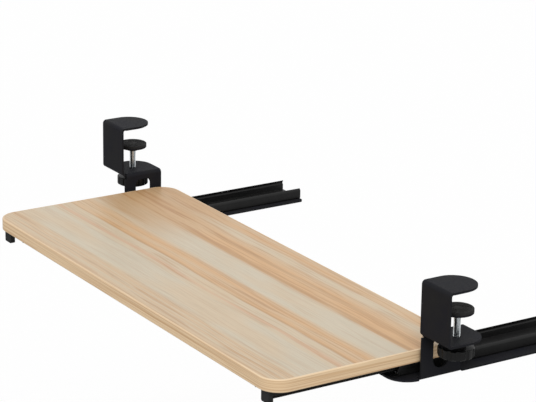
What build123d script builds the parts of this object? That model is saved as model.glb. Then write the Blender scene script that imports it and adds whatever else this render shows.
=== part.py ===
from build123d import *
import math
import os

os.makedirs("parts", exist_ok=True)

# Sliding keyboard tray that clamps to the front edge of a desk, modelled pulled out towards the user.
# Millimetres, +X to the user's right, +Y towards the desk, +Z up.
# The origin is at mid width and mid depth, level with the underside of the lowest rivet heads.

# Tray board
board_width = 640.0
board_depth = 250.0
board_thickness = 15.0
board_corner_radius = 25.0
edge_band_thickness = 2.0
edge_band_round = 1.5
laminate_thickness = 0.8

# Clamp bracket, folded from one steel sheet
sheet = 2.5
bend_radius = 2.0
foot_bend_radius = 1.0
jaw_width = 50.7
mouth_height = 58.5
tongue_reach = 49.0
flange_reach = 56.5
flange_corner_radius = 25.0
side_height = 55.4
side_front_step = 3.3
side_gap = 4.0
relief_width = 2.0
relief_depth = 2.0
opening_width = 22.0
opening_height = 36.0
opening_rise = 10.2
opening_setback = 29.7
opening_shoulder_radius = 7.0
plate_width = 68.0
plate_corner_radius = 25.5
jaw_setback = 24.6
tongue_pad_thickness = 1.2
tongue_pad_margin = 2.0

# Ball slide, laid flat
rail_length = 250.0
rail_width = 45.0
rail_height = 13.7
rail_wall = 1.2
rail_foot_radius = 2.0
rail_edge_margin = 7.0
rail_setback = 10.0
tray_reach = 160.0
hat_rise = 2.15
hat_width = 20.0
hat_slope = 1.6
hat_bend_radius = 0.4
ball_diameter = 4.0
ball_pitch = 8.0
ball_play = 0.1
race_gap = 0.3
lip_opening = 1.0
cage_sheet = 0.8
cage_wall_rise = 2.6
cage_window_width = 12.0
slide_gap = 0.5
stop_tab_width = 20.0
stop_tab_height = 4.0
rail_slot_length = 14.0
rail_slot_width = 5.0

# Front stop under the board
stop_width = 15.1
stop_length = 6.0
stop_drop = 15.6
stop_setback = 6.1
stop_offset = 10.55
stop_corner_radius = 2.0
stop_peg_diameter = 4.0
stop_peg_length = 8.0
closing_gap = 0.5

# Fasteners
fit_gap = 0.05
rivet_shank = 4.0
rivet_flush_head = 6.4
rivet_dome_width = 8.0
rivet_dome_height = 1.2
rivet_end_margin = 25.0
rivet_count = 3
wood_screw_shank = 3.5
wood_screw_head = 7.5
wood_screw_head_height = 2.2
wood_screw_head_round = 1.3
wood_screw_bite = 11.0
wood_screw_point = 3.0
wood_screw_end_margin = 22.0
wood_screw_count = 4
recess_width = 0.9
recess_span = 4.0
recess_depth = 1.3

# Clamp screw, knob and pressure pad
desk_thickness = 25.0
screw_diameter = 8.0
screw_pitch = 1.25
screw_setback = 29.7
screw_running_gap = 0.08
flange_hole_gap = 0.5
nut_across_flats = 13.0
nut_height = 5.5
knob_gap = 0.6
knob_diameter = 40.0
knob_height = 10.5
knob_boss_height = 3.0
knob_boss_chamfer = 0.8
knob_round = 1.5
knob_flutes = 12
knob_flute_radius = 4.0
knob_flute_depth = 1.4
knob_dish_depth = 3.0
knob_rim = 4.0
knob_hub_diameter = 21.0
knob_rib_count = 6
knob_rib_width = 1.6
knob_rib_setback = 0.8
head_across_flats = 13.0
head_height = 5.3
head_recess = 2.0
neck_diameter = 6.0
neck_head_diameter = 9.0
neck_head_height = 1.2
axial_gap = 0.1
pad_diameter = 36.0
pad_plate_thickness = 2.5
pad_plate_round = 1.0
pad_rubber_thickness = 3.0
pad_rubber_round = 0.8
pad_pocket_gap = 0.3
collar_diameter = 14.0
collar_height = 4.0

# How far cutting tools run past the surfaces that they cut
overrun = 1.0

# A full round is drawn just short of half the width, so that a sliver of flat stays
full_round_share = 0.999

# Heights, from the lowest rivet heads up
race_radius = ball_diameter / 2 + race_gap
race_outer_radius = race_radius + rail_wall
ball_row_offset = rail_width / 2 - race_outer_radius
ball_height = rail_height - race_outer_radius
cage_web_low = rail_wall + slide_gap
cage_web_high = cage_web_low + cage_sheet
cage_side_reach = cage_sheet / 2 + slide_gap
inner_half_width = ball_row_offset - cage_side_reach
shoulder_height = rail_height
inner_web_high = shoulder_height + rail_wall / 2 + hat_rise
inner_web_low = inner_web_high - rail_wall

plate_low = rivet_dome_height
plate_high = plate_low + sheet
board_low = plate_high + inner_web_high
board_high = board_low + board_thickness
flange_high = plate_low + side_height
flange_low = flange_high - sheet
tongue_low = flange_high + mouth_height
tongue_high = tongue_low + sheet
pad_high = tongue_low - tongue_pad_thickness - desk_thickness
pad_plate_high = pad_high - pad_rubber_thickness
collar_high = pad_plate_high - pad_plate_thickness
collar_low = collar_high - collar_height
nut_low = flange_low - nut_height
knob_high = nut_low - knob_gap
knob_shoulder = knob_high - knob_boss_height
knob_low = knob_shoulder - knob_height

# Front to back, with the tray pulled out
overall_depth = tray_reach + rail_setback + rail_length
board_front = -overall_depth / 2
board_rear = board_front + board_depth
plate_front = board_front + tray_reach
plate_rear = overall_depth / 2
jaw_front = plate_front + jaw_setback
jaw_inner = jaw_front + sheet
bend_outer = bend_radius + sheet
tongue_tip = jaw_front + tongue_reach
flange_rear = jaw_front + flange_reach
side_front = jaw_front + side_front_step
screw_y = jaw_front + screw_setback
outer_front = plate_front + rail_setback
stop_front = board_front + stop_setback
stop_rear = stop_front + stop_length
inner_front = stop_rear + fit_gap
inner_rear = inner_front + rail_length
tray_travel = outer_front - stop_rear - closing_gap
cage_front = outer_front + rail_wall + slide_gap
cage_rear = inner_rear - rail_wall - slide_gap
cage_travel = tray_travel / 2

# Sideways, on the right-hand side
side_inner = board_width / 2 + side_gap
side_outer = side_inner + sheet
jaw_outer = side_outer + jaw_width
screw_x = side_outer + jaw_width / 2
plate_inner = side_outer - plate_width
rail_x = plate_inner + rail_edge_margin + rail_width / 2
stop_x = rail_x + stop_offset


def block(x_low, x_high, y_low, y_high, z_low, z_high):
    corner = (Align.MIN, Align.MIN, Align.MIN)
    return Pos(x_low, y_low, z_low) * Box(x_high - x_low, y_high - y_low, z_high - z_low, align=corner)


def panel(u_low, u_high, v_low, v_high):
    corner = (Align.MIN, Align.MIN)
    return Pos(u_low, v_low) * Rectangle(u_high - u_low, v_high - v_low, align=corner)


def outline(points, radii):
    return make_face(FilletPolyline(points, radius=radii, close=True))


def along_x(section, x_low, x_high):
    start = Plane(origin=(x_low, 0, 0), x_dir=(0, 1, 0), z_dir=(1, 0, 0))
    return extrude(start * section, amount=x_high - x_low)


def along_y(section, y_low, y_high):
    start = Plane(origin=(0, y_high, 0), x_dir=(1, 0, 0), z_dir=(0, -1, 0))
    return extrude(start * section, amount=y_high - y_low)


def along_z(section, z_low, z_high):
    return extrude(Pos(0, 0, z_low) * section, amount=z_high - z_low)


def rod(x, y, z_low, z_high, radius):
    base = (Align.CENTER, Align.CENTER, Align.MIN)
    return Pos(x, y, z_low) * Cylinder(radius, z_high - z_low, align=base)


def taper(x, y, z_low, z_high, radius_low, radius_high):
    base = (Align.CENTER, Align.CENTER, Align.MIN)
    return Pos(x, y, z_low) * Cone(radius_low, radius_high, z_high - z_low, align=base)


def spread(start, end, count):
    return [start + (end - start) * step / (count - 1) for step in range(count)]


# Board


def board_outline(inset):
    size = (board_width - inset * 2, board_depth - inset * 2)
    return Pos(0, (board_front + board_rear) / 2) * RectangleRounded(*size, board_corner_radius - inset)


def edge_band():
    band = along_z(board_outline(0), board_low, board_high)
    band = fillet(band.edges().group_by(Axis.Z)[-1] + band.edges().group_by(Axis.Z)[0], edge_band_round)
    return band - along_z(board_outline(edge_band_thickness), board_low - overrun, board_high + overrun)


def board_core():
    core = along_z(board_outline(edge_band_thickness), board_low, board_high - laminate_thickness)
    for x, y in wood_screw_places() + mirrored_places(wood_screw_places()):
        core -= rod(x, y, board_low, screw_tip_high(), wood_screw_shank / 2 + fit_gap)
    for x, y in stop_peg_places() + mirrored_places(stop_peg_places()):
        peg_top = board_low + stop_peg_length + fit_gap
        core -= rod(x, y, board_low, peg_top, stop_peg_diameter / 2 + fit_gap)
    return core


def board_laminate():
    return along_z(board_outline(edge_band_thickness), board_high - laminate_thickness, board_high)


def mirrored_places(places):
    return [(-x, y) for x, y in places]


# Clamp bracket and what is fixed to it


def jaw_outline(reach_y):
    return [(side_outer, jaw_front), (jaw_outer, jaw_front), (jaw_outer, reach_y), (side_outer, reach_y)]


def clamp_jaw():
    far = flange_rear + overrun
    mid_front = jaw_front + sheet / 2
    points = [
        (far, tongue_high - sheet / 2),
        (mid_front, tongue_high - sheet / 2),
        (mid_front, flange_low + sheet / 2),
        (far, flange_low + sheet / 2),
    ]
    fold = FilletPolyline(points, radius=bend_radius + sheet / 2)
    channel = along_x(trace(fold, sheet), side_outer, jaw_outer)
    middle = (flange_high + tongue_low) / 2
    round_end = jaw_width / 2 * full_round_share
    tongue_plan = outline(jaw_outline(tongue_tip), [0, 0, round_end, round_end])
    flange_plan = outline(jaw_outline(flange_rear), [0, 0, flange_corner_radius, 0])
    tongue = channel & along_z(tongue_plan, middle, tongue_high + overrun)
    flange = channel & along_z(flange_plan, flange_low - overrun, middle)
    return tongue + flange


def clamp_side():
    points = [
        (screw_x, flange_low + sheet / 2),
        (side_inner + sheet / 2, flange_low + sheet / 2),
        (side_inner + sheet / 2, plate_low + sheet / 2),
        (rail_x, plate_low + sheet / 2),
    ]
    fold = FilletPolyline(points, radius=[bend_radius + sheet / 2, foot_bend_radius + sheet / 2])
    return along_y(trace(fold, sheet), side_front, flange_rear)


def base_plate():
    points = [
        (plate_inner, plate_front),
        (side_outer, plate_front),
        (side_outer, plate_rear),
        (plate_inner, plate_rear),
    ]
    plan = outline(points, [bend_outer, plate_corner_radius, bend_outer, bend_outer])
    slot_low = side_front - relief_width
    slot_high = flange_rear + relief_width
    plan -= panel(side_inner - relief_depth - bend_radius, side_outer + overrun, slot_low, slot_high)
    return along_z(plan, plate_low, plate_high)


def side_opening():
    centre_y = jaw_front + opening_setback
    half = opening_width / 2
    low = plate_low + opening_rise
    high = low + opening_height
    front = centre_y - half
    rear = centre_y + half
    foot = half * full_round_share
    points = [(front, low), (rear, low), (rear, high), (front, high)]
    arch = outline(points, [foot, foot, opening_shoulder_radius, opening_shoulder_radius])
    return along_x(arch, side_inner - overrun, side_outer + overrun)


def flange_relief():
    strip_end = side_inner + bend_outer + relief_depth
    start = jaw_front + bend_outer
    end = start + relief_width
    top = flange_high + overrun
    drop = flange_low - relief_depth - bend_radius
    slot = block(side_outer, strip_end, start, end, flange_low - overrun, top)
    corner = block(side_inner - overrun, side_outer, side_front - overrun, end, drop, top)
    return slot + corner


def clamp_bracket():
    jaw = clamp_jaw()
    flat_strip = block(
        side_outer - overrun,
        side_inner + bend_outer,
        jaw_front + bend_outer,
        flange_rear + overrun,
        flange_low - overrun,
        flange_high + overrun,
    )
    bracket = (jaw - flat_strip) + clamp_side() + base_plate()
    bracket = bracket - flange_relief() - side_opening()
    hole = screw_diameter / 2 + flange_hole_gap
    bracket -= rod(screw_x, screw_y, flange_low - overrun, flange_high + overrun, hole)
    for y in rail_rivet_rows():
        bracket -= rod(rail_x, y, plate_low - overrun, plate_high + overrun, rivet_shank / 2 + fit_gap)
    return bracket


def tongue_pad():
    near = jaw_inner + bend_radius + tongue_pad_margin
    far = tongue_tip - tongue_pad_margin
    left = side_outer + tongue_pad_margin
    right = jaw_outer - tongue_pad_margin
    round_end = (right - left) / 2 * full_round_share
    points = [(left, near), (right, near), (right, far), (left, far)]
    plan = outline(points, [bend_radius, bend_radius, round_end, round_end])
    return along_z(plan, tongue_low - tongue_pad_thickness, tongue_low)


def weld_nut():
    nut = hexagon_prism(nut_across_flats, nut_low, flange_low)
    bore = screw_diameter / 2 + screw_running_gap
    return nut - rod(screw_x, screw_y, nut_low - overrun, flange_low + overrun, bore)


# Ball slide


def rail_rivet_rows():
    return spread(outer_front + rivet_end_margin, plate_rear - rivet_end_margin, rivet_count)


def flush_rivet(x, y, z_dome, z_flush, dome_height, grow):
    shank = rod(x, y, z_dome - grow, z_flush, rivet_shank / 2 + grow)
    cone_low = z_flush - (rivet_flush_head - rivet_shank) / 2
    cone = taper(x, y, cone_low, z_flush, rivet_shank / 2 + grow, rivet_flush_head / 2 + grow)
    if grow:
        return shank + cone
    dome_radius = ((rivet_dome_width / 2) ** 2 + dome_height**2) / (2 * dome_height)
    dome = Pos(x, y, z_dome - dome_height + dome_radius) * Sphere(dome_radius)
    dome &= rod(x, y, z_dome - dome_height - overrun, z_dome, rivet_dome_width)
    return shank + cone + dome


def ring_section(side):
    ring = Circle(race_outer_radius) - Circle(race_radius)
    return Pos(side * ball_row_offset, ball_height) * ring


def outer_section():
    half = rail_width / 2
    corners = [(-half, 0), (half, 0), (half, rail_height), (-half, rail_height)]
    top = race_outer_radius * full_round_share
    section = outline(corners, [rail_foot_radius, rail_foot_radius, top, top])
    reach = ball_row_offset + lip_opening
    section -= panel(-reach, reach, rail_wall, rail_height + overrun)
    for side in (-1, 1):
        section -= Pos(side * ball_row_offset, ball_height) * Circle(race_radius)
    return section


def outer_rail():
    rail = along_y(Pos(rail_x, plate_high) * outer_section(), outer_front, plate_rear)
    tab_high = plate_high + stop_tab_height
    half = stop_tab_width / 2
    rail += block(rail_x - half, rail_x + half, outer_front, outer_front + rail_wall, plate_high, tab_high)
    for y in rail_rivet_rows():
        rail -= flush_rivet(rail_x, y, plate_low, plate_high + rail_wall, rivet_dome_height, fit_gap)
    corner = rail_slot_width / 2 * full_round_share
    slot = RectangleRounded(rail_slot_width, rail_slot_length, corner)
    for y in rail_slot_rows():
        rail -= along_z(Pos(rail_x, y) * slot, plate_high - overrun, plate_high + rail_wall + overrun)
    return rail


def rail_slot_rows():
    rivets = rail_rivet_rows()
    return [(rivets[step] + rivets[step + 1]) / 2 for step in range(rivet_count - 1)]


def rail_rivets():
    top = plate_high + rail_wall
    return [flush_rivet(rail_x, y, plate_low, top, rivet_dome_height, 0) for y in rail_rivet_rows()]


def inner_section():
    edge = inner_half_width
    top = hat_width / 2
    high = shoulder_height + hat_rise
    half_path = [(edge, shoulder_height), (top + hat_slope, shoulder_height), (top, high)]
    points = half_path + [(-u, v) for u, v in reversed(half_path)]
    section = trace(FilletPolyline(points, radius=hat_bend_radius + rail_wall / 2), rail_wall)
    low = ball_height - race_outer_radius
    for side in (-1, 1):
        inner, outer = sorted((0, side * edge))
        section += ring_section(side) & panel(inner, outer, low, shoulder_height)
    return section


def inner_rail():
    rail = along_y(Pos(rail_x, plate_high) * inner_section(), inner_front, inner_rear)
    half = hat_width / 2 - rail_wall
    tab_low = plate_high + cage_web_low
    tab_high = plate_high + inner_web_high - rail_wall / 2
    rail += block(rail_x - half, rail_x + half, inner_rear - rail_wall, inner_rear, tab_low, tab_high)
    for x, y in wood_screw_places():
        rail -= rod(x, y, tab_high - rail_wall, board_low + overrun, wood_screw_shank / 2 + fit_gap)
    return rail


def ball_rows():
    length = cage_rear - cage_front - ball_pitch
    count = int(length // ball_pitch) + 1
    middle = (cage_front + cage_rear) / 2
    half = ball_pitch * (count - 1) / 2
    return spread(middle - half, middle + half, count)


def ball_cage():
    edge = ball_row_offset + cage_sheet / 2
    section = panel(-edge, edge, cage_web_low, cage_web_high)
    for side in (-1, 1):
        low, high = sorted((side * (edge - cage_sheet), side * edge))
        section += panel(low, high, cage_web_low, ball_height + cage_wall_rise)
    cage = along_y(Pos(rail_x, plate_high) * section, cage_front, cage_rear)
    window_half = (cage_rear - cage_front) / 2 - ball_pitch
    middle = (cage_front + cage_rear) / 2
    corner = cage_window_width / 2 * full_round_share
    window = RectangleRounded(cage_window_width, window_half * 2, corner)
    cage -= along_z(Pos(rail_x, middle) * window, plate_high, plate_high + ball_height)
    ball_hole = ball_diameter / 2 + ball_play
    drill = Rot(0, 90, 0) * Cylinder(ball_hole, rail_width)
    for y in ball_rows():
        cage -= Pos(rail_x, y, plate_high + ball_height) * drill
    return cage


def balls():
    rows = []
    for side in (-1, 1):
        x = rail_x + side * ball_row_offset
        for y in ball_rows():
            rows.append(Pos(x, y, plate_high + ball_height) * Sphere(ball_diameter / 2))
    return rows


# Screws and front stop under the board


def wood_screw_places():
    first = inner_front + wood_screw_end_margin
    last = min(board_rear, inner_rear) - wood_screw_end_margin
    return [(rail_x, y) for y in spread(first, last, wood_screw_count)]


def screw_tip_high():
    return board_low + wood_screw_bite


def wood_screw(x, y):
    seat = plate_high + inner_web_low
    head_low = seat - wood_screw_head_height
    tip_low = screw_tip_high() - wood_screw_point
    head = rod(x, y, head_low, seat, wood_screw_head / 2)
    head = fillet(head.edges().group_by(Axis.Z)[0], wood_screw_head_round)
    arm = Box(recess_span, recess_width, recess_depth * 2)
    head -= Pos(x, y, head_low) * (arm + Rot(0, 0, 90) * arm)
    shank = rod(x, y, seat, tip_low, wood_screw_shank / 2)
    point = taper(x, y, tip_low, screw_tip_high() - fit_gap, wood_screw_shank / 2, fit_gap)
    return head + shank + point


def board_screws():
    return [wood_screw(x, y) for x, y in wood_screw_places()]


def stop_peg_places():
    return [(stop_x, (stop_front + stop_rear) / 2)]


def front_stop():
    left = stop_x - stop_width / 2
    right = stop_x + stop_width / 2
    low = board_low - stop_drop
    points = [(left, low), (right, low), (right, board_low), (left, board_low)]
    face = outline(points, [stop_corner_radius, stop_corner_radius, 0, 0])
    stop = along_y(face, stop_front, stop_rear)
    for x, y in stop_peg_places():
        stop += rod(x, y, low + stop_drop / 2, board_low + stop_peg_length, stop_peg_diameter / 2)
    return stop


# Clamp screw, knob and pressure pad


def hexagon_prism(across_flats, z_low, z_high):
    hexagon = RegularPolygon(across_flats / 2, 6, major_radius=False)
    return along_z(Pos(screw_x, screw_y) * hexagon, z_low, z_high)


def clamp_screw():
    head_low = knob_low + head_recess
    shoulder = collar_low - axial_gap
    neck_top = pad_plate_high + axial_gap
    screw = hexagon_prism(head_across_flats, head_low, head_low + head_height)
    screw += rod(screw_x, screw_y, head_low, shoulder, screw_diameter / 2)
    screw += rod(screw_x, screw_y, shoulder - overrun, neck_top, neck_diameter / 2)
    return screw + rod(screw_x, screw_y, neck_top, neck_top + neck_head_height, neck_head_diameter / 2)


def knob_rib():
    start = knob_hub_diameter / 2 - overrun
    end = knob_diameter / 2
    half = knob_rib_width / 2
    return block(start, end, -half, half, knob_low + knob_rib_setback, knob_high)


def clamp_knob():
    knob = rod(screw_x, screw_y, knob_low, knob_shoulder, knob_diameter / 2)
    knob = fillet(knob.edges().filter_by(GeomType.CIRCLE), knob_round)
    ring = knob_diameter / 2 + knob_flute_radius - knob_flute_depth
    for step in range(knob_flutes):
        angle = math.tau * step / knob_flutes
        x = screw_x + ring * math.cos(angle)
        y = screw_y + ring * math.sin(angle)
        knob -= rod(x, y, knob_low - overrun, knob_shoulder + overrun, knob_flute_radius)
    boss = rod(screw_x, screw_y, knob_shoulder - overrun, knob_high, knob_hub_diameter / 2)
    knob += chamfer(boss.edges().group_by(Axis.Z)[-1], knob_boss_chamfer)
    dish_top = knob_low + knob_dish_depth
    dish = rod(screw_x, screw_y, knob_low - overrun, dish_top, knob_diameter / 2 - knob_rim)
    dish -= rod(screw_x, screw_y, knob_low - overrun, dish_top, knob_hub_diameter / 2)
    for step in range(knob_rib_count):
        turn = Pos(screw_x, screw_y) * Rot(0, 0, math.degrees(math.tau) * step / knob_rib_count)
        dish -= turn * knob_rib()
    pocket_top = knob_low + head_recess + head_height + fit_gap
    pocket = hexagon_prism(head_across_flats + fit_gap * 2, knob_low - overrun, pocket_top)
    bore = rod(screw_x, screw_y, knob_low, knob_high + overrun, screw_diameter / 2 + fit_gap)
    return knob - dish - pocket - bore


def pad_plate():
    disc = rod(screw_x, screw_y, collar_high, pad_plate_high, pad_diameter / 2)
    disc = fillet(disc.edges().group_by(Axis.Z)[0], pad_plate_round)
    disc += rod(screw_x, screw_y, collar_low, collar_high + pad_plate_thickness / 2, collar_diameter / 2)
    bore = neck_diameter / 2 + screw_running_gap
    return disc - rod(screw_x, screw_y, collar_low - overrun, pad_plate_high + overrun, bore)


def pad_rubber():
    disc = rod(screw_x, screw_y, pad_plate_high, pad_high, pad_diameter / 2)
    disc = fillet(disc.edges().group_by(Axis.Z)[-1], pad_rubber_round)
    pocket_top = pad_plate_high + axial_gap + neck_head_height + pad_pocket_gap
    pocket = neck_head_diameter / 2 + pad_pocket_gap
    return disc - rod(screw_x, screw_y, pad_plate_high - overrun, pocket_top, pocket)


def side_nodes():
    return {
        "clamp_bracket": [clamp_bracket()],
        "tongue_pad": [tongue_pad()],
        "weld_nut": [weld_nut()],
        "outer_rail": [outer_rail()],
        "rail_rivets": rail_rivets(),
        "ball_cage": [ball_cage()],
        "balls": balls(),
        "inner_rail": [inner_rail()],
        "board_screws": board_screws(),
        "front_stop": [front_stop()],
        "clamp_screw": [clamp_screw()],
        "clamp_knob": [clamp_knob()],
        "pad_plate": [pad_plate()],
        "pad_rubber": [pad_rubber()],
    }


def save(name, shapes):
    solids = [solid for shape in shapes for solid in shape.solids()]
    whole = solids[0] if len(solids) == 1 else Compound(children=solids)
    export_step(whole, f"parts/{name}.step")


save("tray_board", [board_core()])
save("tray_laminate", [board_laminate()])
save("tray_edge_band", [edge_band()])
for node, shapes in side_nodes().items():
    save(f"right_{node}", shapes)
    save(f"left_{node}", [mirror(shape, about=Plane.YZ) for shape in shapes])

screw_turns = int((collar_low - flange_high - slide_gap) // screw_pitch)
print("overall", jaw_outer * 2, overall_depth, tongue_high)
print("tray travel", tray_travel, "cage travel", cage_travel)
print("clamp screw turns down", screw_turns, "drop", screw_turns * screw_pitch)
print("screw axis", screw_x, screw_y, "rail axis", rail_x)
print("tongue pad underside", tongue_low - tongue_pad_thickness, "pad top", pad_high)
print("flange top", flange_high, "flange rear", flange_rear)
print("jaw inner face", jaw_inner, "jaw front", jaw_front, "tongue tip", tongue_tip)
print("board", board_front, board_rear, board_low, board_high)
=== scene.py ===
import math
import bpy
from mathutils import Matrix, Vector


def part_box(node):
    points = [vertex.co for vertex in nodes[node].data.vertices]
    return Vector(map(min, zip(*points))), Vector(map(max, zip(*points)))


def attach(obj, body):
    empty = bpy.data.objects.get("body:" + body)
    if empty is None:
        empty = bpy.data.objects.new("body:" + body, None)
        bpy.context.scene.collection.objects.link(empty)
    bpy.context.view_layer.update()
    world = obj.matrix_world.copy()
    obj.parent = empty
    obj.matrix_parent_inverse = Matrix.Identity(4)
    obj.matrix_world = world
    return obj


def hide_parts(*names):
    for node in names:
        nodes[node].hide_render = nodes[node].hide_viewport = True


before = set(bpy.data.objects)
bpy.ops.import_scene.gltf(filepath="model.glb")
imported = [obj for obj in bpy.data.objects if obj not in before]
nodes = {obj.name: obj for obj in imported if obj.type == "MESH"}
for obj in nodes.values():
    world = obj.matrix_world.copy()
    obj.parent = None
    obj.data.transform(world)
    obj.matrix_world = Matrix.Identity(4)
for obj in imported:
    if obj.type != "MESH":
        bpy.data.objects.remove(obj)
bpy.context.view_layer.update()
sides = ("right", "left")
print("frame loaded:", len(nodes), "nodes")


# Camera, fitted to the photo

cameraValues = {
    "place": (2.25657, -1.46204, 0.98505),
    "yaw": 57.25,
    "pitch": 18.09,
    "roll": 0.85,
    "focalPixels": 2401.07,
    "axisPixel": (268.63, 202.97),  # where the lens axis meets the photo, from its upper left corner
    "photoSize": (536, 402),
    "sensor": 36.0,
    "farthest": 100.0,
}


def addCamera(values):
    width, height = values["photoSize"]
    data = bpy.data.cameras.new("photoCamera")
    data.sensor_width = values["sensor"]
    data.lens = values["focalPixels"] / width * values["sensor"]
    data.shift_x = (width / 2 - values["axisPixel"][0]) / width
    data.shift_y = (values["axisPixel"][1] - height / 2) / width
    data.clip_end = values["farthest"]
    camera = bpy.data.objects.new("photoCamera", data)
    bpy.context.scene.collection.objects.link(camera)
    turn = Matrix.Rotation(math.radians(values["yaw"]), 4, "Z")
    tilt = Matrix.Rotation(math.radians(90 - values["pitch"]), 4, "X")
    roll = Matrix.Rotation(math.radians(values["roll"]), 4, "Z")
    camera.matrix_world = Matrix.Translation(values["place"]) @ turn @ tilt @ roll
    bpy.context.scene.camera = camera


addCamera(cameraValues)
print("camera placed")


# Node trees: an expression on sockets adds its maths nodes, and every other node comes from Tree.node

class Socket:
    def __init__(self, tree, socket):
        self.tree = tree
        self.socket = socket

    def beside(self, name):
        return Socket(self.tree, self.tree.named(self.socket.node.outputs, name))

    def maths(self, operation, *values):
        return self.tree.node("ShaderNodeMath", {"operation": operation}, dict(enumerate(values)))

    def highest(self, other):
        return self.maths("MAXIMUM", self, other)

    def __add__(self, other):
        return self.maths("ADD", self, other)

    def __radd__(self, other):
        return self.maths("ADD", other, self)

    def __sub__(self, other):
        return self.maths("SUBTRACT", self, other)

    def __rsub__(self, other):
        return self.maths("SUBTRACT", other, self)

    def __mul__(self, other):
        return self.maths("MULTIPLY", self, other)

    def __rmul__(self, other):
        return self.maths("MULTIPLY", other, self)

    def __truediv__(self, other):
        return self.maths("DIVIDE", self, other)

    def __rtruediv__(self, other):
        return self.maths("DIVIDE", other, self)

    def __gt__(self, other):
        return self.maths("GREATER_THAN", self, other)

    def __lt__(self, other):
        return self.maths("LESS_THAN", self, other)

    def __abs__(self):
        return self.maths("ABSOLUTE", self)


class Tree:
    def __init__(self, owner):
        owner.use_nodes = True
        self.tree = owner.node_tree
        self.tree.nodes.clear()

    def node(self, kind, settings, inputs, output=None):
        made = self.tree.nodes.new(kind)
        for name, value in settings.items():
            if name == "stops":
                self.setStops(made.color_ramp, value)
            else:
                setattr(made, name, value)
        for name, value in inputs.items():
            socket = made.inputs[name] if isinstance(name, int) else self.named(made.inputs, name)
            self.fill(socket, value)
        if made.outputs:
            return Socket(self, self.named(made.outputs, output))

    def fill(self, socket, value):
        if isinstance(value, Socket):
            self.tree.links.new(value.socket, socket)
        else:
            socket.default_value = value

    def named(self, sockets, name):
        shown = [s for s in sockets if s.enabled]
        return next(s for s in shown if name in (None, s.name, s.identifier))

    def setStops(self, ramp, stops):
        while len(ramp.elements) > 1:
            ramp.elements.remove(ramp.elements[0])
        ramp.elements[0].position = stops[0][0]
        ramp.elements[0].color = stops[0][1]
        for position, colour in stops[1:]:
            ramp.elements.new(position).color = colour

    def mixShader(self, share, first, second):
        return self.node("ShaderNodeMixShader", {}, {0: share, 1: first, 2: second})


noiseMiddle = 0.5
noiseSpan = (0.3, 0.7)  # nearly all of a noise lies between these
channelNames = {
    "baseColour": "Base Color", "roughness": "Roughness", "metallic": "Metallic", "normal": "Normal",
    "specular": "Specular IOR Level", "specularTint": "Specular Tint",
}


class Paint(Tree):
    def __init__(self, name):
        self.material = bpy.data.materials.new(name)
        super().__init__(self.material)
        self.place = self.node("ShaderNodeTexCoord", {}, {}, "Object")
        self.x = self.node("ShaderNodeSeparateXYZ", {}, {0: self.place}, "X")
        self.y = self.x.beside("Y")
        self.z = self.x.beside("Z")

    def vector(self, x, y, z):
        return self.node("ShaderNodeCombineXYZ", {}, {0: x, 1: y, 2: z})

    def noise(self, place, scale, detail=2.0, roughness=0.5):
        inputs = {"Vector": place, "Scale": scale, "Detail": detail, "Roughness": roughness}
        return self.node("ShaderNodeTexNoise", {"noise_dimensions": "3D"}, inputs, "Fac")

    def streaks(self, x, y, z, stretch, detail=2.0, roughness=0.5):
        place = self.vector(x * stretch[0], y * stretch[1], z * stretch[2])
        return self.noise(place, 1.0, detail, roughness)

    def cells(self, place, scale):
        inputs = {"Vector": place, "Scale": scale}
        return self.node("ShaderNodeTexVoronoi", {"feature": "SMOOTH_F1"}, inputs, "Distance")

    def ramp(self, value, stops):
        return self.node("ShaderNodeValToRGB", {"stops": stops}, {0: value})

    def between(self, value, low, high, outLow=0.0, outHigh=1.0):
        inputs = {"Value": value, "From Min": low, "From Max": high, "To Min": outLow, "To Max": outHigh}
        return self.node("ShaderNodeMapRange", {"interpolation_type": "SMOOTHSTEP"}, inputs)

    def mix(self, share, first, second, blend="MIX"):
        settings = {"data_type": "RGBA", "blend_type": blend}
        inputs = {"Factor_Float": share, "A_Color": first, "B_Color": second}
        return self.node("ShaderNodeMix", settings, inputs, "Result_Color")

    def rough(self, grain, values):
        low, high = values["roughSpread"]
        return self.between(grain, *noiseSpan, values["roughness"] + low, values["roughness"] + high)

    def bump(self, height, distance, strength):
        inputs = {"Height": height, "Distance": distance, "Strength": strength}
        return self.node("ShaderNodeBump", {}, inputs)

    def finish(self, **channels):
        inputs = {channelNames[name]: value for name, value in channels.items()}
        surface = self.node("ShaderNodeBsdfPrincipled", {}, inputs, "BSDF")
        self.node("ShaderNodeOutputMaterial", {}, {"Surface": surface})
        return self.material


def tone(red, green, blue):  # screen levels from 0 to 255, turned into linear light
    levels = [level / 255 for level in (red, green, blue)]
    linear = [s / 12.92 if s < 0.04045 else ((s + 0.055) / 1.055) ** 2.4 for s in levels]
    return (*linear, 1.0)


def grey(level):
    return (level, level, level, 1.0)


def greyStops(rows, level=1.0):
    return [(position, grey(level * share)) for position, share in rows]


# Maple print on the board: pale and tan bands run from side to side
# A band row holds its place from front to rear in millimetres, its tone and how strong its veins are

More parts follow.
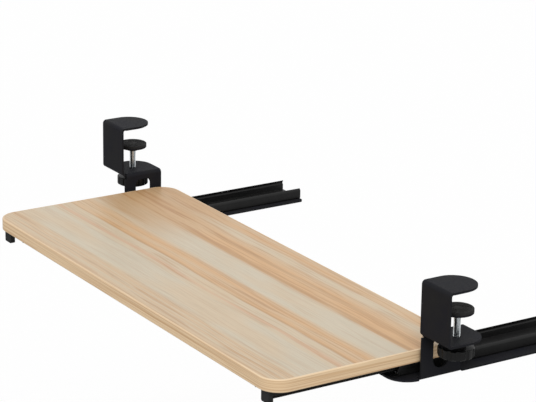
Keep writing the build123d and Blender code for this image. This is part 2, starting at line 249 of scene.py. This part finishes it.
mapleValues = {
    "bands": [
        (-210, "tan", 0.7), (-199, "sand", 0.8), (-196, "tan", 0.9), (-193, "sand", 0.8),
        (-188, "tan", 0.9), (-185, "sand", 0.9), (-182, "tan", 0.7), (-178, "sand", 0.5),
        (-174, "pale", 0.3), (-170, "pale", 0.1), (-133, "pale", 0.1), (-129, "sand", 0.4),
        (-125, "sand", 0.5), (-123, "rose", 0.7), (-119, "rose", 0.7), (-117, "sand", 0.5),
        (-106, "sand", 0.5), (-104, "brown", 0.9), (-101, "orange", 0.9), (-92, "tan", 0.9),
        (-84, "orange", 0.9), (-77, "tan", 0.7), (-74, "sand", 0.2), (-70, "pale", 0.1),
        (-39, "pale", 0.1), (-35, "sand", 0.4), (-32, "brown", 1.0), (-28, "brown", 1.0),
        (-25, "orange", 1.0),
    ],
    "rearBands": [
        (-16, "orange", 1.0), (-10, "brown", 1.0), (-6, "orange", 0.8), (2, "tan", 0.7),
        (10, "sand", 0.6), (16, "sand", 0.6), (19, "tan", 0.8), (27, "orange", 0.9),
        (33, "tan", 0.8), (40, "tan", 0.8),
    ],
    "perMetre": 1000,
    "tones": {
        "pale": (207, 194, 171), "sand": (209, 190, 162), "tan": (209, 179, 143),
        "rose": (209, 176, 144), "orange": (212, 171, 125), "brown": (193, 152, 108),
    },
    "vein": (180, 134, 90),
    "faded": (212, 186, 152),
    "left": (196, 158, 114),  # the board's left end is browner, behind the places in leftRear
    "leftFrom": (-0.23, -0.09),
    "leftRear": (-0.084, -0.058),
    "leftWaver": 2,
    "leftToning": 0.78,
    "leftVeins": 0.6,
    "waver": 0.010,
    "driftWaver": 0.005,
    "feather": 0.007,
    "strandSway": 0.02,
    "flowSway": 0.012,
    "flowDrift": 0.008,
    "broad": {"stretch": (2.4, 8.0, 0.0)},
    "drift": {"stretch": (7.0, 26.0, 2.0)},
    "cloud": {"stretch": (5.0, 22.0, 3.0)},
    "strands": {"stretch": (4.5, 170.0, 5.0), "detail": 3.0, "roughness": 0.6},
    "veins": {"stretch": (3.2, 150.0, 9.0), "detail": 3.0, "roughness": 0.6},
    "hairs": {"stretch": (5.2, 330.0, 4.0), "roughness": 0.6},
    "gaps": {"stretch": (8.0, 60.0, 1.0), "detail": 1.0},
    "fine": {"stretch": (16.0, 1100.0, 11.0), "detail": 3.0, "roughness": 0.6},
    "pores": {"stretch": (120.0, 2800.0, 5.0), "detail": 1.0},
    "cloudRange": (0.48, 0.66, 0.0, 0.55),
    "veinRange": (0.54, 0.58, 0.0, 0.48),
    "hairRange": (0.55, 0.59, 0.0, 0.34),
    "gapRange": (0.42, 0.56),
    "poreRange": (0.66, 0.74, 0.0, 0.2),
    "hairsAnywhere": 0.3,
    "fineShades": [(0.30, 0.86), (0.50, 1.0), (0.72, 1.06)],
    "fineShare": 0.75,
    "roughness": 0.42,
    "roughSpread": (0.05, -0.04),
    "bump": (0.00002, 0.5),
    "specular": 0.4,
}


def bandRamp(paint, share, values, pick):
    rows = values["bands"] + values["rearBands"]
    front, rear = rows[0][0], rows[-1][0]
    half = len(values["bands"])
    joint = (rows[half - 1][0] - front) / (rear - front)
    stops = [((y - front) / (rear - front), pick(name, strength)) for y, name, strength in rows]
    frontHalf = paint.ramp(share, stops[:half])
    rearHalf = paint.ramp(share, stops[half - 1:])
    return paint.mix(share > joint, frontHalf, rearHalf)


def mapleColour(paint, values):
    def streaks(name, y):
        return paint.streaks(paint.x, y, 1, **values[name])

    front = values["bands"][0][0] / values["perMetre"]
    rear = values["rearBands"][-1][0] / values["perMetre"]
    vein = tone(*values["vein"])
    broad = streaks("broad", paint.y) - noiseMiddle
    drift = streaks("drift", paint.y) - noiseMiddle
    strands = streaks("strands", paint.y + broad * values["strandSway"]) - noiseMiddle
    shift = broad * values["waver"] + drift * values["driftWaver"] + strands * values["feather"]
    share = (paint.y + shift - front) / (rear - front)
    band = bandRamp(paint, share, values, lambda name, strength: tone(*values["tones"][name]))
    strength = bandRamp(paint, share, values, lambda name, strength: grey(strength))
    cloud = paint.between(streaks("cloud", paint.y), *values["cloudRange"])
    faded = paint.mix(cloud, band, tone(*values["faded"]))
    leftward = 1 - paint.between(paint.x, *values["leftFrom"])
    leftShare = leftward * paint.between(paint.y + shift * values["leftWaver"], *values["leftRear"])
    toned = paint.mix(leftShare * values["leftToning"], faded, tone(*values["left"]))
    veinStrength = strength + leftShare * values["leftVeins"]
    flow = paint.y + broad * values["flowSway"] + drift * values["flowDrift"]
    veins = paint.between(streaks("veins", flow), *values["veinRange"])
    hairs = paint.between(streaks("hairs", flow), *values["hairRange"])
    gaps = paint.between(streaks("gaps", flow), *values["gapRange"])
    veined = paint.mix(veins * veinStrength * gaps, toned, vein)
    haired = paint.mix(hairs * (veinStrength + values["hairsAnywhere"]), veined, vein)
    fine = streaks("fine", flow)
    fineTone = paint.ramp(fine, greyStops(values["fineShades"]))
    grained = paint.mix(values["fineShare"], haired, fineTone, "MULTIPLY")
    pores = paint.between(streaks("pores", paint.y), *values["poreRange"])
    return paint.mix(pores, grained, vein), fine


def maplePrint(values):
    paint = Paint("maplePrint")
    colour, grain = mapleColour(paint, values)
    rough = paint.rough(grain, values)
    normal = paint.bump(grain, *values["bump"])
    return paint.finish(baseColour=colour, roughness=rough, normal=normal, specular=values["specular"])


# Edge band: the same print in fine lines that follow the edge, lighter along its rounded top and bottom
# edges, partly the paler trimmed PVC and partly a painted highlight

edgeValues = {
    "light": (240, 210, 170),
    "dark": (222, 186, 143),
    "deep": (196, 154, 110),
    # lighter colour along the rounded top and bottom edges: paler trimmed PVC and a painted highlight
    "trimmedHighlight": (236, 214, 184),
    "trimHighlightRange": (0.84, 0.98),
    "trimHighlightToning": 0.55,
    "sway": {"stretch": (7.0, 7.0, 0.0)},
    "swayRise": 0.0016,
    "lines": {"stretch": (2.6, 2.6, 420.0)},
    "threads": {"stretch": (5.0, 5.0, 900.0)},
    "fine": {"stretch": (22.0, 22.0, 3000.0)},
    "lineRange": (0.44, 0.56),
    "threadRange": (0.52, 0.57, 0.0, 0.5),
    "fineShades": [(0.3, 0.9), (0.7, 1.05)],
    "fineShare": 0.8,
    "roughness": 0.46,
    "bump": (0.00004, 0.4),
    "specular": 0.35,
}


def edgePrint(values, low, high):
    def streaks(name, height):
        return paint.streaks(paint.x, paint.y, height, **values[name])

    paint = Paint("edgePrint")
    height = paint.z + (streaks("sway", 1) - noiseMiddle) * values["swayRise"]
    lines = streaks("lines", height)
    threads = paint.between(streaks("threads", height), *values["threadRange"])
    lineShare = paint.between(lines, *values["lineRange"])
    ground = paint.mix(lineShare, tone(*values["light"]), tone(*values["dark"]))
    striped = paint.mix(threads, ground, tone(*values["deep"]))
    fineTone = paint.ramp(streaks("fine", height), greyStops(values["fineShades"]))
    grained = paint.mix(values["fineShare"], striped, fineTone, "MULTIPLY")
    middle, half = (low + high) / 2, (high - low) / 2
    # painted highlight: lighter towards the band's top and bottom edges, partly the paler trimmed PVC
    edge = paint.between(abs(paint.z - middle) / half, *values["trimHighlightRange"])
    colour = paint.mix(edge * values["trimHighlightToning"], grained, tone(*values["trimmedHighlight"]))
    return paint.finish(baseColour=colour, roughness=values["roughness"],
                        normal=paint.bump(lines, *values["bump"]), specular=values["specular"])


# Board core: chips inside, the maple print again on the underside

coreValues = {
    "light": (205, 178, 138),
    "dark": (150, 118, 80),
    "chipRange": (0.1, 0.6),
    "chipScale": 420.0,
    "chipAcross": 1.8,
    "chipUp": 3.0,
    "skin": 0.0004,
    "roughness": 0.62,
    "bump": (0.0002, 0.6),
    "specular": 0.35,
}


def boardCore(values, printValues, low):
    paint = Paint("boardCore")
    place = paint.vector(paint.x, paint.y * values["chipAcross"], paint.z * values["chipUp"])
    chips = paint.cells(place, values["chipScale"])
    chipShare = paint.between(chips, *values["chipRange"])
    chipColour = paint.mix(chipShare, tone(*values["dark"]), tone(*values["light"]))
    skin = paint.z < low + values["skin"]
    colour = paint.mix(skin, chipColour, mapleColour(paint, printValues)[0])
    normal = paint.bump(chips * (1 - skin), *values["bump"])
    return paint.finish(baseColour=colour, roughness=values["roughness"], normal=normal,
                        specular=values["specular"])


# Black powder coat on the folded brackets, nuts and pressure plates

powderValues = {
    "base": 0.0165,
    "shades": [(0.3, (0.9, 0.92, 1.2)), (0.7, (1.15, 1.14, 1.2))],
    "cloud": {"scale": 34.0, "detail": 3.0},
    "peelScale": 1900.0,
    "broadScale": 475.0,
    "broadShare": 1.5,
    "roughness": 0.5,
    "roughSpread": (-0.05, 0.07),
    "bump": (0.00003, 0.55),
    "specular": 0.03,
    # painted reflection: a bluish tint on the coat's reflections stands in for a blue sky
    "paintedSkyTint": (0.86, 0.92, 1.0, 1.0),
}


def powderCoat(values):
    paint = Paint("powderCoat")
    level = values["base"]
    stops = [(place, (*(level * share for share in shares), 1.0)) for place, shares in values["shades"]]
    shade = paint.ramp(paint.noise(paint.place, **values["cloud"]), stops)
    peel = paint.noise(paint.place, values["peelScale"])
    broad = paint.noise(paint.place, values["broadScale"])
    rough = paint.rough(broad, values)
    normal = paint.bump(peel + broad * values["broadShare"], *values["bump"])
    # the specular tint paints a bluish sky reflection into the coat
    return paint.finish(baseColour=shade, roughness=rough, normal=normal, specular=values["specular"],
                        specularTint=values["paintedSkyTint"])


# Black slide steel: smooth paint over long drawn lines

slideValues = {
    "base": 0.008,
    "shades": [(0.3, 1.0), (0.75, 1.5)],
    "cloud": {"scale": 60.0, "detail": 3.0},
    "drawn": {"stretch": (900.0, 5.0, 900.0), "detail": 3.0},
    "roughness": 0.38,
    "roughSpread": (-0.06, 0.1),
    "bump": (0.00003, 0.5),
    "specular": 0.22,
}


def slideSteel(values):
    paint = Paint("slideSteel")
    drawn = paint.streaks(paint.x, paint.y, paint.z, **values["drawn"])
    cloud = paint.noise(paint.place, **values["cloud"])
    shade = paint.ramp(cloud, greyStops(values["shades"], values["base"]))
    return paint.finish(baseColour=shade, roughness=paint.rough(drawn, values),
                        normal=paint.bump(drawn, *values["bump"]), specular=values["specular"])


# Bright zinc plate on screws and rivets

zincValues = {
    "bright": (0.78, 0.81, 0.82, 1),
    "dull": (0.62, 0.66, 0.68, 1),
    "cloud": {"scale": 420.0, "detail": 3.0},
    "cloudRange": (0.35, 0.7),
    "scratches": {"stretch": (700.0, 700.0, 3800.0)},
    "roughness": 0.26,
    "roughSpread": (-0.06, 0.12),
    "bump": (0.00001, 0.5),
}


def zincPlate(values):
    paint = Paint("zincPlate")
    cloud = paint.between(paint.noise(paint.place, **values["cloud"]), *values["cloudRange"])
    shade = paint.mix(cloud, values["bright"], values["dull"])
    scratches = paint.streaks(paint.x, paint.y, paint.z, **values["scratches"])
    return paint.finish(baseColour=shade, roughness=paint.rough(scratches, values),
                        normal=paint.bump(scratches, *values["bump"]), metallic=1.0)


# Ball cages: bare steel strip

cageValues = {
    "shades": [(0.3, 0.42), (0.7, 0.56)],
    "drawn": {"stretch": (1200.0, 12.0, 1200.0), "detail": 3.0},
    "roughness": 0.34,
    "roughSpread": (-0.08, 0.08),
    "bump": (0.00002, 0.5),
}


def cageSteel(values):
    paint = Paint("cageSteel")
    drawn = paint.streaks(paint.x, paint.y, paint.z, **values["drawn"])
    shade = paint.ramp(drawn, greyStops(values["shades"]))
    return paint.finish(baseColour=shade, roughness=paint.rough(drawn, values),
                        normal=paint.bump(drawn, *values["bump"]), metallic=1.0)


# Balls: polished, with a thin film of grease

ballValues = {
    "shades": [(0.3, 0.66), (0.7, 0.8)],
    "filmScale": 900.0,
    "roughness": 0.14,
    "roughSpread": (-0.06, 0.06),
}


def ballSteel(values):
    paint = Paint("ballSteel")
    film = paint.noise(paint.place, values["filmScale"])
    shade = paint.ramp(film, greyStops(values["shades"]))
    return paint.finish(baseColour=shade, roughness=paint.rough(film, values), metallic=1.0)


# Knob plastic

plasticValues = {
    "base": 0.0045,
    "shades": [(0.3, 1.0), (0.7, 1.35)],
    "broadScale": 90.0,
    "sparkScale": 3200.0,
    "roughness": 0.33,
    "roughSpread": (-0.05, 0.09),
    "bump": (0.00002, 0.6),
    "specular": 0.24,
}


def knobPlastic(values):
    paint = Paint("knobPlastic")
    spark = paint.noise(paint.place, values["sparkScale"])
    broad = paint.noise(paint.place, values["broadScale"])
    shade = paint.ramp(broad, greyStops(values["shades"], values["base"]))
    return paint.finish(baseColour=shade, roughness=paint.rough(spark, values),
                        normal=paint.bump(spark, *values["bump"]), specular=values["specular"])


# Rubber on liners, stops and pads, with a little dust

rubberValues = {
    "base": 0.012,
    "dust": 0.03,
    "dustRange": (0.45, 0.8),
    "dustShare": 0.6,
    "mottle": {"scale": 120.0, "detail": 4.0, "roughness": 0.65},
    "grainScale": 2600.0,
    "roughness": 0.78,
    "roughSpread": (-0.08, 0.08),
    "bump": (0.00003, 0.6),
    "specular": 0.3,
}


def blackRubber(values):
    paint = Paint("blackRubber")
    mottle = paint.noise(paint.place, **values["mottle"])
    dust = paint.between(mottle, *values["dustRange"])
    shade = paint.mix(dust * values["dustShare"], grey(values["base"]), grey(values["dust"]))
    grain = paint.noise(paint.place, values["grainScale"])
    return paint.finish(baseColour=shade, roughness=paint.rough(mottle, values),
                        normal=paint.bump(grain, *values["bump"]), specular=values["specular"])


boardLow, boardHigh = (corner.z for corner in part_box("tray_edge_band"))
finishes = {
    "maple_laminate": maplePrint(mapleValues),
    "maple_edge_band": edgePrint(edgeValues, boardLow, boardHigh),
    "board_core": boardCore(coreValues, mapleValues, boardLow),
    "black_powder_coat": powderCoat(powderValues),
    "black_slide_steel": slideSteel(slideValues),
    "zinc_plate": zincPlate(zincValues),
    "cage_steel": cageSteel(cageValues),
    "ball_steel": ballSteel(ballValues),
    "black_plastic": knobPlastic(plasticValues),
    "black_rubber": blackRubber(rubberValues),
}
print("finishes made:", len(finishes))


# Working on one piece at a time

def clearSelection():
    if bpy.context.object and bpy.context.object.mode != "OBJECT":
        bpy.ops.object.mode_set(mode="OBJECT")
    bpy.ops.object.select_all(action="DESELECT")


def workOn(piece):
    clearSelection()
    piece.select_set(True)
    bpy.context.view_layer.objects.active = piece


def editAll(piece):
    workOn(piece)
    bpy.ops.object.mode_set(mode="EDIT")
    bpy.ops.mesh.select_all(action="SELECT")


def applyModifier(piece, kind, **settings):
    workOn(piece)
    modifier = piece.modifiers.new(kind.lower(), kind)
    for name, value in settings.items():
        setattr(modifier, name, value)
    bpy.ops.object.modifier_apply(modifier=modifier.name)


def smoothPiece(piece, angle):
    workOn(piece)
    bpy.ops.object.shade_smooth_by_angle(angle=math.radians(angle))


def dressPiece(piece, name, body, slotName, replaced):
    workOn(piece)
    bpy.ops.object.transform_apply(location=True, rotation=True, scale=True)
    piece.name = name
    piece.data.name = name
    piece.data.materials.clear()
    piece.data.materials.append(finishes[slotName])
    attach(piece, body)
    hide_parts(*replaced)
    print("piece", piece.name, len(piece.data.polygons), "faces")


# Solid pieces from the frame, with their edges broken as the real ones are

edgeRoundValues = {
    "merge": 0.000001,
    "flatAngle": 0.4,
    "segments": 2,
    "edgeAngle": 30.0,
    "smoothAngle": 50.0,
}
copiedPieces = {  # each row: the piece's name, its body, its slot and how far its edges are rounded
    "clamp_bracket": ("ClampBracket", "frame", "black_powder_coat", 0.00035),
    "tongue_pad": ("TongueLiner", "frame", "black_rubber", 0.0003),
    "weld_nut": ("WeldNut", "frame", "black_powder_coat", 0.0003),
    "outer_rail": ("OuterRail", "frame", "black_slide_steel", 0.00012),
    "rail_rivets": ("RailRivets", "frame", "zinc_plate", 0.0001),
    "ball_cage": ("BallCage", "cage", "cage_steel", 0.00008),
    "balls": ("Balls", "cage", "ball_steel", 0.0),
    "inner_rail": ("InnerRail", "tray", "black_slide_steel", 0.00012),
    "board_screws": ("BoardScrews", "tray", "zinc_plate", 0.0001),
    "front_stop": ("FrontStop", "tray", "black_rubber", 0.0008),
    "clamp_knob": ("ClampKnob", "screw", "black_plastic", 0.0004),
    "pad_plate": ("PadPlate", "pad", "black_powder_coat", 0.0003),
}
sharedBodies = ("frame", "tray")


def roundedCopy(nodeName, edgeRound, values):
    piece = bpy.data.objects.new(nodeName + "Copy", nodes[nodeName].data.copy())
    bpy.context.scene.collection.objects.link(piece)
    workOn(piece)
    bpy.ops.mesh.customdata_custom_splitnormals_clear()
    editAll(piece)
    bpy.ops.mesh.remove_doubles(threshold=values["merge"])
    bpy.ops.mesh.dissolve_limited(angle_limit=math.radians(values["flatAngle"]))
    bpy.ops.object.mode_set(mode="OBJECT")
    if edgeRound:
        applyModifier(piece, "BEVEL", width=edgeRound, segments=values["segments"], limit_method="ANGLE",
                      angle_limit=math.radians(values["edgeAngle"]), use_clamp_overlap=True)
    smoothPiece(piece, values["smoothAngle"])
    applyModifier(piece, "WEIGHTED_NORMAL", keep_sharp=True)
    return piece


for side in sides:
    for node, (label, body, slotName, edgeRound) in copiedPieces.items():
        nodeName = side + "_" + node
        home = body if body in sharedBodies else side + "_" + body
        piece = roundedCopy(nodeName, edgeRound, edgeRoundValues)
        dressPiece(piece, side + label, home, slotName, [nodeName])


# Outlines drawn point by point, then swept round the upright axis

outlineValues = {"seed": 0.001, "merge": 0.000002, "cut": 0.0000001, "smoothAngle": 40.0}


def drawOutline(name, points, values):
    clearSelection()
    bpy.ops.mesh.primitive_plane_add(size=values["seed"], location=(0, 0, 0))
    piece = bpy.context.object
    piece.name = name
    editAll(piece)
    bpy.ops.mesh.merge(type="CENTER")
    last = (0.0, 0.0)
    for step, (radius, height) in enumerate(points):
        move = (radius - last[0], 0, height - last[1])
        if step:
            bpy.ops.mesh.extrude_region_move(TRANSFORM_OT_translate={"value": move})
        else:
            bpy.ops.transform.translate(value=move)
        last = (radius, height)
    bpy.ops.object.mode_set(mode="OBJECT")
    return piece


def sweepRound(piece, values, steps, turns=1, rise=0.0):
    applyModifier(piece, "SCREW", axis="Z", angle=math.tau, screw_offset=rise, iterations=turns,
                  steps=steps, render_steps=steps, use_smooth_shade=True)
    editAll(piece)
    bpy.ops.mesh.remove_doubles(threshold=values["merge"])
    bpy.ops.mesh.normals_make_consistent(inside=False)
    bpy.ops.object.mode_set(mode="OBJECT")


def cutFlat(piece, values, height, keepAbove):
    editAll(piece)
    bpy.ops.mesh.bisect(plane_co=(0, 0, height), plane_no=(0, 0, 1), use_fill=True,
                        clear_inner=keepAbove, clear_outer=not keepAbove, threshold=values["cut"])
    bpy.ops.object.mode_set(mode="OBJECT")


def moveTo(piece, place):
    workOn(piece)
    bpy.ops.transform.translate(value=place)


# Clamp screws: the solid's head and neck with a rolled thread between them

threadValues = {
    "edgeRound": 0.0002,
    "pitch": 0.00125,
    "root": 0.00333,
    "crest": 0.00393,
    "profileShares": [(0, 0.0), (0, 0.15), (1, 0.43), (1, 0.57), (0, 0.85), (0, 1.0)],  # of depth and pitch
    "steps": 32,
    "spareTurns": 2,
    "turnsBelow": 1.5,  # the sweep starts below the head's top, so that both of its ends are cut flat
    "cutDrop": 0.0003,
    "headRise": 0.0053,
    "neckRise": 0.0079,
    "shank": 0.004,
    "core": 0.0033,
    "near": 0.00006,
}


def thinShank(body, axis, start, end, values):
    near = values["near"]
    for vertex in body.data.vertices:
        radius = math.hypot(vertex.co.x - axis.x, vertex.co.y - axis.y)
        onShank = abs(radius - values["shank"]) < near
        vertex.select = onShank and start - near < vertex.co.z < end + near
    for part in (*body.data.edges, *body.data.polygons):
        part.select = all(body.data.vertices[corner].select for corner in part.vertices)
    share = values["core"] / values["shank"]
    bpy.ops.object.mode_set(mode="EDIT")
    bpy.ops.transform.resize(value=(share, share, 1), center_override=axis)
    bpy.ops.object.mode_set(mode="OBJECT")


def rolledThread(name, axis, start, end, values):
    pitch, depth = values["pitch"], values["crest"] - values["root"]
    points = [(values["root"] + depth * out, pitch * along) for out, along in values["profileShares"]]
    turns = math.ceil((end - start) / pitch) + values["spareTurns"]
    thread = drawOutline(name, points, outlineValues)
    sweepRound(thread, outlineValues, values["steps"], turns, pitch)
    moveTo(thread, (axis.x, axis.y, start - pitch * values["turnsBelow"]))
    bpy.ops.object.transform_apply(location=True, rotation=False, scale=False)
    cutFlat(thread, outlineValues, start - values["cutDrop"], True)
    cutFlat(thread, outlineValues, end - values["cutDrop"], False)
    smoothPiece(thread, outlineValues["smoothAngle"])
    return thread


def threadedScrew(side, values):
    nodeName = side + "_clamp_screw"
    low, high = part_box(nodeName)
    axis = (low + high) / 2
    start, end = low.z + values["headRise"], high.z - values["neckRise"]
    body = roundedCopy(nodeName, values["edgeRound"], edgeRoundValues)
    thinShank(body, axis, start, end, values)
    thread = rolledThread(side + "Thread", axis, start, end, values)
    workOn(body)
    thread.select_set(True)
    bpy.ops.object.join()
    dressPiece(body, side + "ClampScrew", side + "_screw", "zinc_plate", [nodeName])


for side in sides:
    threadedScrew(side, threadValues)


# Pressure pads' rubber faces with concentric grip rings

gripValues = {
    "edge": 0.0008,
    "edgeSteps": 4,
    "lowerEdge": 0.00015,
    "grooveRows": [0.0066, 0.0092, 0.0118, 0.0144],
    "grooveHalf": 0.0005,
    "grooveFloorShare": 0.7,
    "grooveDepth": 0.0006,
    "pocket": 0.0048,
    "pocketRise": 0.0016,
    "steps": 72,
}


def gripOutline(radius, rise, values):
    points = [(0.0, rise)]
    half, floorRise = values["grooveHalf"], rise - values["grooveDepth"]
    floorHalf = half * values["grooveFloorShare"]
    for groove in values["grooveRows"]:
        points += [(groove - half, rise), (groove - floorHalf, floorRise),
                   (groove + floorHalf, floorRise), (groove + half, rise)]
    edge, lowerEdge = values["edge"], values["lowerEdge"]
    for step in range(values["edgeSteps"] + 1):
        turn = math.pi / 2 * step / values["edgeSteps"]
        points.append((radius - edge + edge * math.sin(turn), rise - edge + edge * math.cos(turn)))
    points += [(radius, lowerEdge), (radius - lowerEdge, 0.0), (values["pocket"], 0.0),
               (values["pocket"], values["pocketRise"]), (0.0, values["pocketRise"])]
    return points


def gripFace(side, values):
    nodeName = side + "_pad_rubber"
    low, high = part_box(nodeName)
    axis = (low + high) / 2
    points = gripOutline((high.x - low.x) / 2, high.z - low.z, values)
    piece = drawOutline(side + "Grip", points, outlineValues)
    sweepRound(piece, outlineValues, values["steps"])
    moveTo(piece, (axis.x, axis.y, low.z))
    smoothPiece(piece, outlineValues["smoothAngle"])
    dressPiece(piece, side + "PadRubber", side + "_pad", "black_rubber", [nodeName])


for side in sides:
    gripFace(side, gripValues)

boardSlots = {
    "tray_laminate": "maple_laminate",
    "tray_edge_band": "maple_edge_band",
    "tray_board": "board_core",
}
for nodeName, slotName in boardSlots.items():
    node = nodes[nodeName]
    node.data.materials.clear()
    node.data.materials.append(finishes[slotName])
print("board dressed")


# Floor, light and white surroundings

stageValues = {
    "floorDrop": 0.62,
    "floorSize": 60.0,
    "floorTone": 0.62,
    "floorGlow": 0.40,
    "skyStrength": 0.60,
    "sunStrength": 1.40,
    "sunAngle": 40.0,
    "sunFrom": (0.75, -0.6, 1.3),
}


def addFloor(values):
    clearSelection()
    bpy.ops.mesh.primitive_plane_add(size=values["floorSize"], location=(0, 0, -values["floorDrop"]))
    floor = bpy.context.object
    floor.name = "floor"
    material = bpy.data.materials.new("floorWhite")
    tree = Tree(material)
    matt = tree.node("ShaderNodeBsdfDiffuse", {}, {"Color": grey(values["floorTone"])})
    glow = tree.node("ShaderNodeEmission", {}, {"Strength": values["floorGlow"]})
    glowing = tree.node("ShaderNodeAddShader", {}, {0: matt, 1: glow})
    seenDirectly = tree.node("ShaderNodeLightPath", {}, {}, "Is Camera Ray")
    above = tree.mixShader(seenDirectly, matt, glowing)
    seenFromBelow = tree.node("ShaderNodeNewGeometry", {}, {}, "Backfacing")
    clear = tree.node("ShaderNodeBsdfTransparent", {}, {})
    tree.node("ShaderNodeOutputMaterial", {}, {"Surface": tree.mixShader(seenFromBelow, above, clear)})
    floor.data.materials.append(material)


def addSky(values):
    world = bpy.data.worlds.new("whiteRoom")
    bpy.context.scene.world = world
    tree = Tree(world)
    lit = tree.node("ShaderNodeBackground", {}, {"Color": grey(1.0), "Strength": values["skyStrength"]})
    white = tree.node("ShaderNodeBackground", {}, {"Color": grey(1.0)})
    direct = tree.node("ShaderNodeLightPath", {}, {}, "Is Camera Ray")
    seen = direct.highest(direct.beside("Is Transmission Ray")).highest(direct.beside("Is Glossy Ray"))
    tree.node("ShaderNodeOutputWorld", {}, {"Surface": tree.mixShader(seen, lit, white)})


def addSun(values):
    data = bpy.data.lights.new("softSun", "SUN")
    data.energy = values["sunStrength"]
    data.angle = math.radians(values["sunAngle"])
    sun = bpy.data.objects.new("softSun", data)
    bpy.context.scene.collection.objects.link(sun)
    sun.rotation_euler = Vector(values["sunFrom"]).to_track_quat("Z", "Y").to_euler()


addFloor(stageValues)
addSky(stageValues)
addSun(stageValues)

scene = bpy.context.scene
scene.view_settings.view_transform = "Standard"
print("stage lit")
